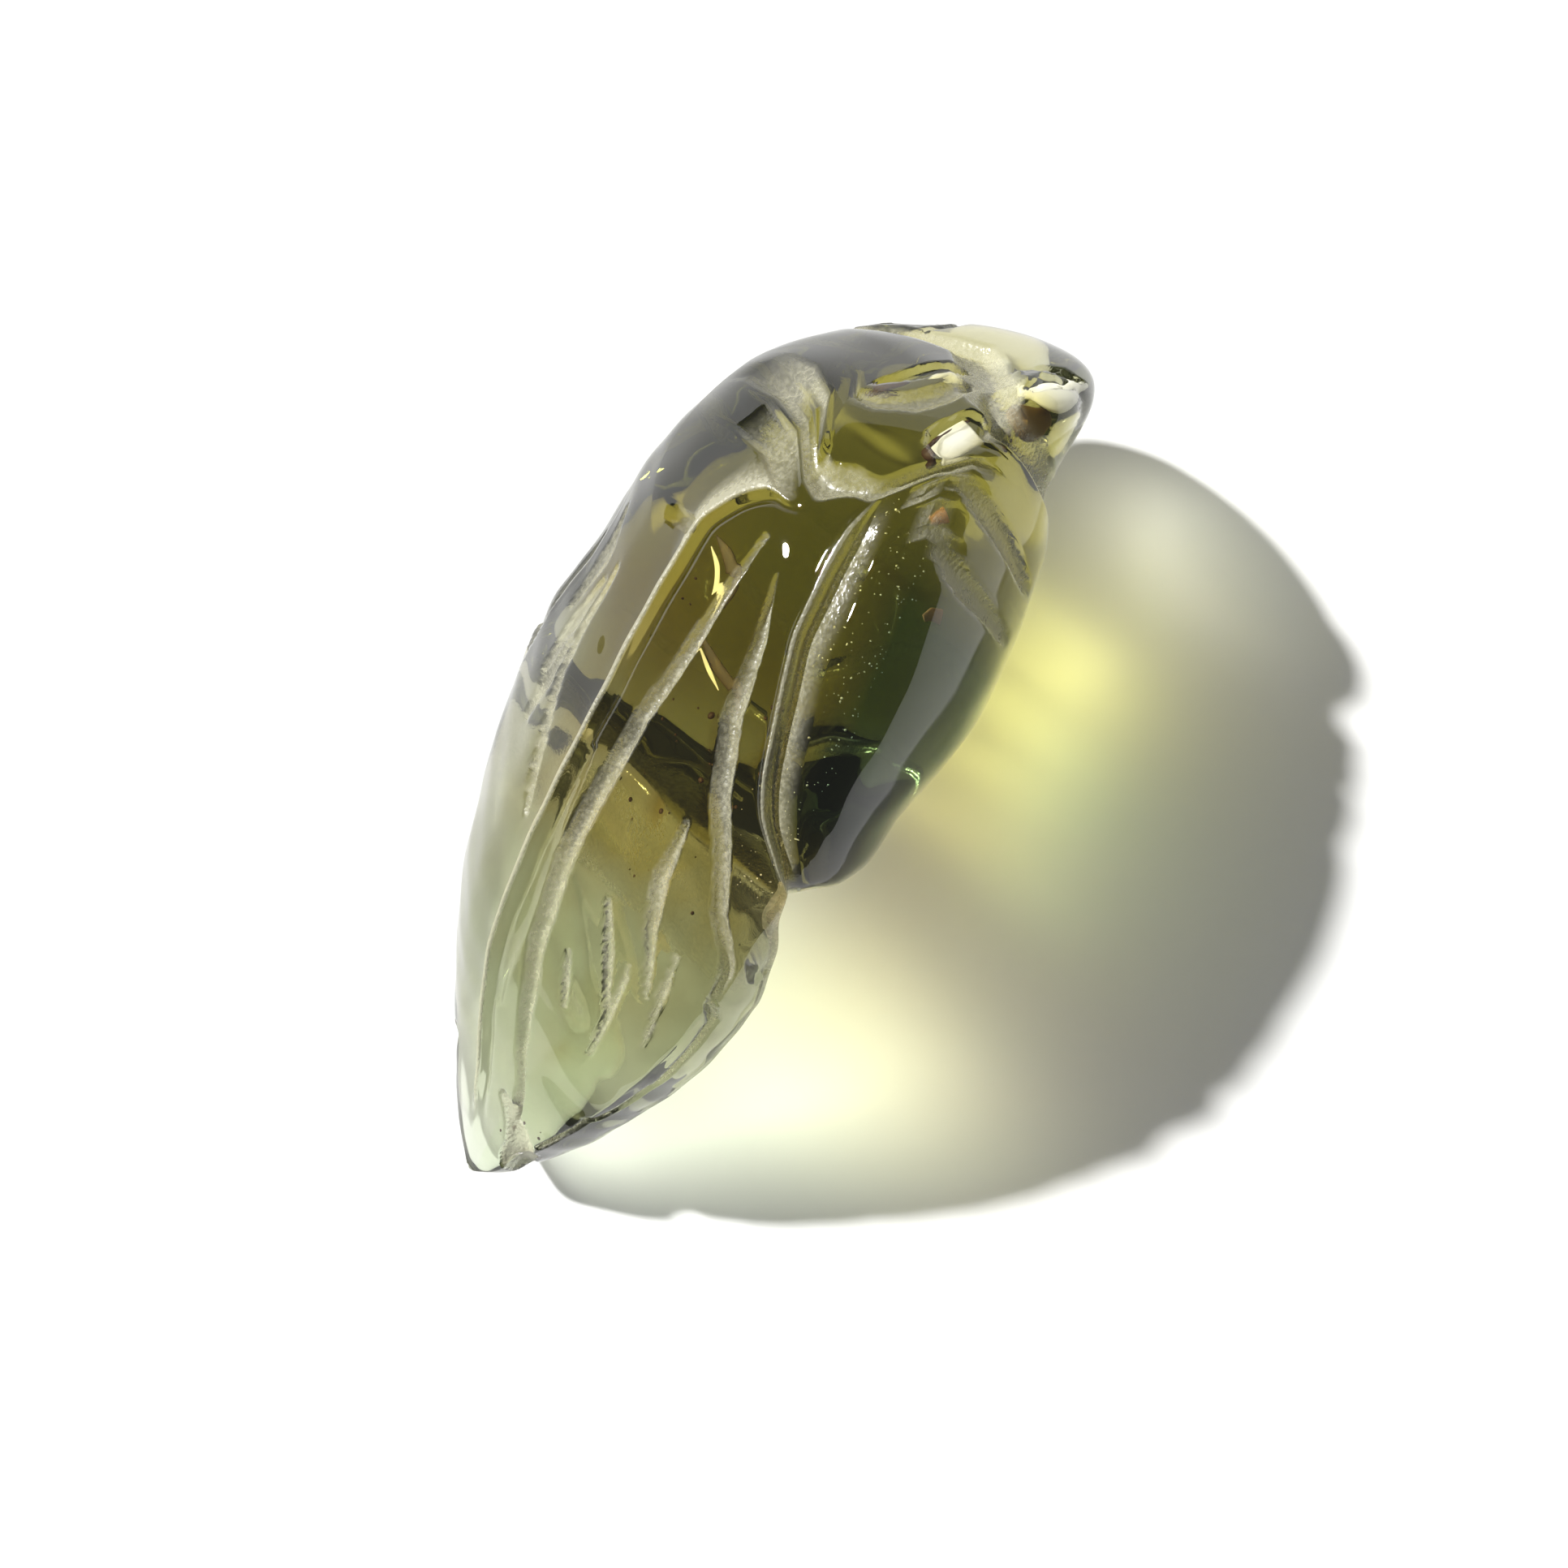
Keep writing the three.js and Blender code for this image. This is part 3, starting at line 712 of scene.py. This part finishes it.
@dataclass(frozen=True)
class CitrineFinish:
    """Polished olive-gold crystal with frosted cuts, with painted shade on the flank, the shield and edge-on rims, and
    painted light in its clear tint and frost.
    """

    ior: float = 1.544
    polish: float = 0.01
    matt: float = 0.35
    frost_and_highlight_colour: tuple[float, float, float, float] = (0.48, 0.46, 0.33, 1)
    depth_colour: tuple[float, float, float, float] = (0.4, 0.42, 0.16, 1)
    depth_density: float = 80.0
    cover: float = 0.45
    pitting: float = 0.00005
    last_bounce: float = 3.5
    grain_scale: float = 4200.0
    patch_scale: float = 700.0
    drift_scale: float = 110.0
    rim_start: float = 0.72
    rim_gain: float = 4.0
    shade: tuple[float, float, float, float] = (0.62, 0.62, 0.6, 1)
    cast_shade: tuple[float, float, float, float] = (0.06, 0.07, 0.12, 1)
    near_depth: float = 1.5
    tail_tint: tuple[float, float, float, float] = (0.82, 0.9, 0.72, 1)
    wing_tint: tuple[float, float, float, float] = (0.58, 0.39, 0.07, 1)
    head_tint: tuple[float, float, float, float] = (0.62, 0.54, 0.12, 1)
    # Painted shade tints for the flank, the shield and the edge-on rims, and a pale clear tint that also paints light.
    painted_shade_tint: tuple[float, float, float, float] = (0.06, 0.13, 0.08, 1)
    clear_and_light_tint: tuple[float, float, float, float] = (0.92, 0.93, 0.88, 1)
    edge_shade_tint: tuple[float, float, float, float] = (0.2, 0.15, 0.1, 1)
    rim_share: float = 0.8

    def material(self) -> bpy.types.Material:
        """Makes the stone's material.

        Returns:
            The material.
        """
        made = bpy.data.materials.new("citrine")
        made.use_nodes = True
        nodes = Nodes(made.node_tree)
        frost = nodes.add("ShaderNodeAttribute", {"attribute_name": "frost"}, {}, "Fac")
        place = nodes.add("ShaderNodeTexCoord", {}, {}, "Object")
        grain = nodes.add("ShaderNodeTexNoise", {}, {"Vector": place, "Scale": self.grain_scale, "Detail": 3.0})
        patch = nodes.add("ShaderNodeTexNoise", {}, {"Vector": place, "Scale": self.patch_scale, "Detail": 2.0})
        speckle = ((grain - 0.4) * 4).clamped()
        # The frost share also holds painted highlight lines; it drives the roughness and the pale powder layer.
        frost_and_highlight_share = (frost * (speckle * 0.4 + patch * 0.6 + 0.25)).clamped()
        rough_skin = nodes.add("ShaderNodeBump", {}, {"Strength": 1.0, "Distance": self.pitting,
                                                      "Height": grain * frost})
        along = nodes.add("ShaderNodeSeparateXYZ", {}, {0: place}, "X")
        drift = nodes.add("ShaderNodeTexNoise", {}, {"Vector": place, "Scale": self.drift_scale, "Detail": 3.0})
        zone = along * 16 + 0.5 + (drift - 0.5) * 0.5
        tint = nodes.add("ShaderNodeValToRGB", {"stops": ((0.2, self.tail_tint), (0.45, self.wing_tint),
                                                          (0.75, self.head_tint))}, {"Fac": zone})
        # Painted shade and painted light from the shares on the mesh.
        for name, colour in (("deep", self.painted_shade_tint), ("clear", self.clear_and_light_tint)):
            share = nodes.add("ShaderNodeAttribute", {"attribute_name": name}, {}, "Fac")
            tint = nodes.add("ShaderNodeMix", {"data_type": "RGBA"}, {0: share, 6: tint, 7: colour}, 2)
        # Painted shade: the tint darkens where the surface turns edge-on to the view.
        facing = nodes.add("ShaderNodeLayerWeight", {}, {"Blend": 0.5}, "Facing")
        edge_shade = ((facing - self.rim_start) * self.rim_gain).clamped() * self.rim_share
        tint = nodes.add("ShaderNodeMix", {"data_type": "RGBA"}, {0: edge_shade, 6: tint, 7: self.edge_shade_tint}, 2)
        glass = nodes.add("ShaderNodeBsdfPrincipled", {}, {
            "Base Color": tint, "Roughness": frost_and_highlight_share * (self.matt - self.polish) + self.polish,
            "IOR": self.ior, "Transmission Weight": 1.0, "Normal": rough_skin})
        frost_and_highlight_layer = nodes.add("ShaderNodeBsdfPrincipled", {}, {
            "Base Color": self.frost_and_highlight_colour, "Roughness": 0.7, "IOR": self.ior, "Normal": rough_skin})
        skin = nodes.add("ShaderNodeMixShader", {}, {0: frost_and_highlight_share * self.cover, 1: glass, 2: frost_and_highlight_layer})
        lamp = nodes.add("ShaderNodeLightPath", {}, {}, "Is Shadow Ray")
        depth = nodes.add("ShaderNodeLightPath", {}, {}, "Ray Depth")
        late = nodes.add("ShaderNodeMath", {"operation": "GREATER_THAN"}, {0: depth, 1: self.last_bounce})
        way_out = nodes.add("ShaderNodeBsdfTransparent", {}, {"Color": (1, 1, 1, 1)})
        near = nodes.add("ShaderNodeMath", {"operation": "GREATER_THAN"}, {0: depth, 1: self.near_depth})
        cast = nodes.add("ShaderNodeBsdfTransparent", {}, {"Color": self.cast_shade})
        soft = nodes.add("ShaderNodeBsdfTransparent", {}, {"Color": self.shade})
        film = nodes.add("ShaderNodeMixShader", {}, {0: near, 1: cast, 2: soft})
        caught = nodes.add("ShaderNodeMixShader", {}, {0: late, 1: skin, 2: way_out})
        whole = nodes.add("ShaderNodeMixShader", {}, {0: lamp, 1: caught, 2: film})
        inside = nodes.add("ShaderNodeVolumeAbsorption", {}, {
            "Color": self.depth_colour, "Density": self.depth_density})
        nodes.add("ShaderNodeOutputMaterial", {}, {"Surface": whole, "Volume": inside})
        return made


@dataclass(frozen=True)
class ZoneFinish:
    """Deeper colour sealed inside the stone."""

    colour: tuple[float, float, float, float]
    density: float

    def material(self, name: str) -> bpy.types.Material:
        """Makes a material that only colours the light on its way through.

        Args:
            name: the zone's name.

        Returns:
            The material.
        """
        made = bpy.data.materials.new(name)
        made.use_nodes = True
        nodes = Nodes(made.node_tree)
        inside = nodes.add("ShaderNodeVolumeAbsorption", {}, {"Color": self.colour, "Density": self.density})
        nodes.add("ShaderNodeOutputMaterial", {}, {"Volume": inside})
        return made


@dataclass(frozen=True)
class GrainFinish:
    """Small solid grains sealed in the stone, some of them flakes that paint highlights and glints."""

    colour: tuple[float, float, float, float]

    def material(self, name: str) -> bpy.types.Material:
        """Makes a plain matt material.

        Args:
            name: the name of the grains.

        Returns:
            The material.
        """
        made = bpy.data.materials.new(name)
        made.use_nodes = True
        nodes = Nodes(made.node_tree)
        solid = nodes.add("ShaderNodeBsdfPrincipled", {}, {"Base Color": self.colour, "Roughness": 0.6})
        nodes.add("ShaderNodeOutputMaterial", {}, {"Surface": solid})
        return made


@dataclass
class Sealed:
    """Bodies closed inside the stone, joined in one piece."""

    name: str
    finish: ZoneFinish | GrainFinish
    points: list[tuple[float, ...]] = field(default_factory=list)
    faces: list[tuple[int, ...]] = field(default_factory=list)

    def add(self, rings: np.ndarray, ends: np.ndarray) -> None:
        """Adds one closed body.

        Args:
            rings: points by ring and by place round the ring, in metres.
            ends: the two end points.
        """
        start, (rows, n) = len(self.points), rings.shape[:2]
        index = start + np.arange(rows * n).reshape(rows, n)
        turn = np.roll(index, -1, axis=1)
        quads = np.stack([index[:-1], index[1:], turn[1:], turn[:-1]], -1).reshape(-1, 4)
        first, last = start + rows * n, start + rows * n + 1
        self.points += rings.reshape(-1, 3).tolist() + ends.tolist()
        self.faces += [tuple(q) for q in quads.tolist()]
        self.faces += [(first, a, b) for a, b in zip(index[0].tolist(), turn[0].tolist())]
        self.faces += [(last, b, a) for a, b in zip(index[-1].tolist(), turn[-1].tolist())]

    def build(self) -> bpy.types.Object:
        """Builds the piece.

        Returns:
            The piece.
        """
        mesh = bpy.data.meshes.new(self.name)
        mesh.from_pydata(self.points, [], self.faces)
        mesh.shade_smooth()
        mesh.materials.append(self.finish.material(self.name))
        piece = bpy.data.objects.new(self.name, mesh)
        bpy.context.scene.collection.objects.link(piece)
        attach(piece, "root")
        return piece


@dataclass(frozen=True)
class Streak:
    """A drawn-out veil of deeper colour, or a flake that paints a highlight or a glint, under a line on the surface of
    the stone.
    """

    name: str
    line: Knots
    halves: tuple[float, ...]
    depth: float
    finish: ZoneFinish | GrainFinish
    flatness: float = 0.5
    steps: int = 40
    sides: int = 16

    def build(self, stone: CarvedStone) -> bpy.types.Object:
        """Builds the streak.

        Args:
            stone: the stone it is sealed in.

        Returns:
            The streak.
        """
        at = np.linspace(0, len(self.line) - 1, self.steps)
        t = curve(tuple((k, p[0]) for k, p in enumerate(self.line)), at)
        angle = curve(tuple((k, p[1]) for k, p in enumerate(self.line)), at)
        half = curve(tuple(enumerate(self.halves)), at)[:, None, None]
        out = stone.form.outward(t, angle)
        middle = stone.form.skin(t, angle) - out * self.depth
        across = np.cross(np.gradient(middle, axis=0), out)
        across /= np.linalg.norm(across, axis=-1, keepdims=True)
        turn = np.linspace(0, 2 * np.pi, self.sides, endpoint=False)[None, :, None]
        rings = middle[:, None] + half * (across[:, None] * np.cos(turn) + out[:, None] * np.sin(turn) * self.flatness)
        body = Sealed(self.name, self.finish)
        body.add(stone.place(rings), stone.place(middle[[0, -1]]))
        return body.build()


@dataclass(frozen=True)
class Grains:
    """A scatter of small grains inside the stone, the same on every run."""

    name: str
    count: int
    places: tuple[float, float]
    degrees: tuple[float, float]
    depths: tuple[float, float]
    radii: tuple[float, float]
    finish: GrainFinish
    cover: float = 0.03
    seed: int = 7

    def build(self, stone: CarvedStone) -> bpy.types.Object:
        """Builds the grains that fit wholly inside.

        Args:
            stone: the stone they are sealed in.

        Returns:
            The grains as one piece.
        """
        dice = np.random.default_rng(self.seed)
        t, angle, depth = (dice.uniform(*limits, self.count) for limits in (self.places, self.degrees, self.depths))
        radius = self.radii[0] + (self.radii[1] - self.radii[0]) * dice.random(self.count) ** 2
        centre = stone.form.skin(t, angle) - stone.form.outward(t, angle) * depth[:, None]
        polar = np.linspace(0, np.pi, 6)[1:-1, None]
        turn = np.linspace(0, 2 * np.pi, 8, endpoint=False)[None, :]
        unit = np.stack([-np.cos(polar) + 0 * turn, np.sin(polar) * np.cos(turn), np.sin(polar) * np.sin(turn)], -1)
        ends = np.array([[-1.0, 0, 0], [1.0, 0, 0]])
        body = Sealed(self.name, self.finish)
        for spot, size in zip(centre, radius):
            stretch = size * dice.uniform(0.6, 1.4, 3)
            shift = stone.seated(spot, stretch.max() + self.cover) - stone.place(spot)
            skin, tips = (stone.place(spot + way * stretch) + shift for way in (unit, ends))
            if all(stone.holds(Vector(p)) for p in (*skin.reshape(-1, 3), *tips)):
                body.add(skin, tips)
        return body.build()


VEIL = ZoneFinish((0.55, 0.35, 0.15, 1), 900.0)
RUST = GrainFinish((0.05, 0.02, 0.008, 1))
# Orange flakes that paint glints.
ORANGE_GLINT = GrainFinish((0.85, 0.42, 0.2, 1))
CHALK = GrainFinish((0.85, 0.85, 0.8, 1))
# White flakes that paint bright highlights of refraction.
PAINTED_HIGHLIGHT = GrainFinish((0.95, 0.94, 0.88, 1))
HONEY = GrainFinish((0.12, 0.065, 0.015, 1))
UMBER = GrainFinish((0.06, 0.04, 0.015, 1))
SEALED = (
    Streak("brown_vein", ((0.725, 50), (0.723, 64), (0.727, 82), (0.739, 94)), (0.1, 0.35, 0.35, 0.1), 1.2, VEIL),
    Streak("far_vein", ((0.573, 27), (0.53, 30), (0.48, 36), (0.455, 38)), (0.15, 0.5, 0.5, 0.15), 2.0, VEIL),
    # Painted orange glints in the flank.
    Streak("upper_glint", ((0.778, 70), (0.79, 76)), (0.2, 0.45), 0.9, ORANGE_GLINT, 0.3),
    Streak("lower_glint", ((0.712, 86), (0.722, 92)), (0.2, 0.4), 0.9, ORANGE_GLINT, 0.3),
    Streak("first_veil", ((0.66, 4), (0.65, 11), (0.63, 16), (0.6, 16)), (0.05, 0.35, 0.4, 0.05), 1.5, UMBER, 0.2),
    # Painted highlight streak.
    Streak("first_gleam", ((0.65, 5), (0.638, 10), (0.62, 13), (0.6, 14)), (0.03, 0.15, 0.16, 0.03), 1.3, PAINTED_HIGHLIGHT, 0.2),
    Streak("second_veil", ((0.585, 14), (0.572, 22), (0.566, 29), (0.55, 33)), (0.05, 0.35, 0.3, 0.05), 1.5,
           UMBER, 0.2),
    # Painted highlight streak.
    Streak("second_gleam", ((0.578, 15), (0.566, 21), (0.558, 26)), (0.03, 0.13, 0.03), 1.3, PAINTED_HIGHLIGHT, 0.2),
    # Painted highlights of the eye, the window and the crescent.
    Streak("eye_highlight", ((0.92, 52), (0.928, 64), (0.955, 67), (0.972, 80)), (0.5, 0.85, 0.45, 0.2), 0.5, PAINTED_HIGHLIGHT, 0.3),
    Streak("eye_shadow", ((0.912, 60), (0.903, 76), (0.918, 88)), (0.3, 0.9, 0.3), 1.0, HONEY, 0.4),
    Streak("window_highlight", ((0.824, 56), (0.84, 57), (0.862, 58)), (0.5, 0.85, 0.85), 0.75, PAINTED_HIGHLIGHT, 0.2),
    Streak("window_edge", ((0.822, 50), (0.845, 51), (0.868, 51)), (0.1, 0.2, 0.1), 0.7, RUST, 0.5),
    Streak("crescent_highlight", ((0.87, 15), (0.89, 18.5), (0.91, 17)), (0.15, 0.4, 0.15), 1.15, PAINTED_HIGHLIGHT, 0.3),
    Streak("crescent_edge", ((0.842, 12), (0.858, 14), (0.876, 15)), (0.1, 0.38, 0.1), 1.5, RUST, 0.3),
    Grains("dark_grains", 36, (0.38, 0.62), (2, 50), (0.4, 4), (0.05, 0.17), RUST),
    Grains("tail_grains", 12, (0.06, 0.12), (30, 100), (0.15, 0.6), (0.06, 0.16), RUST),
    Grains("neck_grains", 7, (0.865, 0.885), (72, 88), (0.25, 0.5), (0.1, 0.22), RUST),
    Grains("chalk_grains", 240, (0.44, 0.78), (46, 78), (0.3, 2.0), (0.02, 0.06), CHALK),
    Grains("window_grain", 1, (0.82, 0.822), (52, 53), (0.9, 1.0), (0.4, 0.45), RUST),
)


@dataclass(frozen=True)
class Studio:
    """Pale floor, soft light and the camera of the photograph."""

    floor_colour: tuple[float, float, float, float] = (0.82, 0.82, 0.81, 1)
    floor_size: float = 3.0
    floor_gap: float = 0.0001
    camera_body: tuple[float, float, float] = (31.69, 0.05, 94.69)
    camera_turn: float = 52.26
    camera_tilt: float = 2.96
    lens: float = 33.54
    key_elevation: float = 34.0
    key_power: float = 6.8
    key_spread: float = 2.5
    sky: float = 0.2
    panel_power: float = 1.9
    panel_size: tuple[float, float] = (1.6, 0.5)
    panel_height: float = 0.2
    sensor_width: float = 36.0
    clip_start: float = 0.005
    key_way: tuple[float, float] = (-0.85, 0.52)

    def turned(self, vector: tuple[float, float, float]) -> Vector:
        """Turns a direction of the fitted view into the row's frame.

        Args:
            vector: the direction.

        Returns:
            The direction with the nose lowered.
        """
        return Matrix.Rotation(math.radians(self.camera_tilt), 3, "Y") @ Vector(vector)

    def camera(self, stone: CarvedStone) -> None:
        """Sets the camera over the stone.

        Args:
            stone: the stone, for where it lies.
        """
        data = bpy.data.cameras.new("camera")
        data.lens = self.lens
        data.sensor_width = self.sensor_width
        data.clip_start = self.clip_start
        eye = bpy.data.objects.new("camera", data)
        turn = math.radians(self.camera_turn)
        right = self.turned((math.cos(turn), -math.sin(turn), 0))
        up = self.turned((math.sin(turn), math.cos(turn), 0))
        back = right.cross(up)
        spot = (self.turned(self.camera_body) + Vector(stone.body_origin)) * MM
        eye.matrix_world = Matrix.Translation(spot) @ Matrix((right, up, back)).transposed().to_4x4()
        bpy.context.scene.collection.objects.link(eye)
        bpy.context.scene.camera = eye

    def light(self) -> None:
        """Lights the stone from the upper left of the picture, with a low panel and a pale sky to fill."""
        turn = math.radians(self.camera_turn)
        right, up = Vector((math.cos(turn), -math.sin(turn), 0)), Vector((math.sin(turn), math.cos(turn), 0))
        level = (right * self.key_way[0] + up * self.key_way[1]).normalized()
        rise = math.radians(self.key_elevation)
        spot = level * math.cos(rise) + Vector((0, 0, math.sin(rise)))
        data = bpy.data.lights.new("key", "SUN")
        data.energy = self.key_power
        data.angle = math.radians(self.key_spread)
        key = bpy.data.objects.new("key", data)
        key.location = spot
        key.rotation_euler = spot.to_track_quat("Z", "Y").to_euler()
        bpy.context.scene.collection.objects.link(key)
        data = bpy.data.lights.new("panel", "AREA")
        data.shape, data.energy = "RECTANGLE", self.panel_power
        data.size, data.size_y = self.panel_size
        panel = bpy.data.objects.new("panel", data)
        panel.location = up + Vector((0, 0, self.panel_height))
        panel.rotation_euler = panel.location.to_track_quat("Z", "Y").to_euler()
        bpy.context.scene.collection.objects.link(panel)
        world = bpy.data.worlds.new("sky")
        world.use_nodes = True
        nodes = Nodes(world.node_tree)
        glow = nodes.add("ShaderNodeBackground", {}, {"Color": (1, 1, 1, 1), "Strength": self.sky})
        nodes.add("ShaderNodeOutputWorld", {}, {"Surface": glow})
        bpy.context.scene.world = world
        bpy.context.scene.view_settings.view_transform = "Standard"

    def floor(self) -> None:
        """Lays the pale floor."""
        half, low = self.floor_size / 2, -self.floor_gap
        mesh = bpy.data.meshes.new("floor")
        corners = [(-half, -half, low), (half, -half, low), (half, half, low), (-half, half, low)]
        mesh.from_pydata(corners, [], [(0, 1, 2, 3)])
        made = bpy.data.materials.new("floor")
        made.use_nodes = True
        nodes = Nodes(made.node_tree)
        shade = nodes.add("ShaderNodeBsdfPrincipled", {}, {"Base Color": self.floor_colour, "Roughness": 0.8})
        nodes.add("ShaderNodeOutputMaterial", {}, {"Surface": shade})
        mesh.materials.append(made)
        ground = bpy.data.objects.new("floor", mesh)
        bpy.context.scene.collection.objects.link(ground)


def main() -> None:
    """Builds the stone and the studio in order."""
    logging.basicConfig(level=logging.INFO, format="%(name)s: %(message)s")
    stone = CarvedStone()
    piece = stone.build()
    piece.data.materials.append(CitrineFinish().material())
    log.info("%s: %d faces", piece.name, len(piece.data.polygons))
    for body in SEALED:
        log.info("%s: %d faces", body.name, len(body.build(stone).data.polygons))
    studio = Studio()
    studio.floor()
    studio.camera(stone)
    studio.light()
    bpy.context.view_layer.update()


if __name__ == "__main__":
    main()
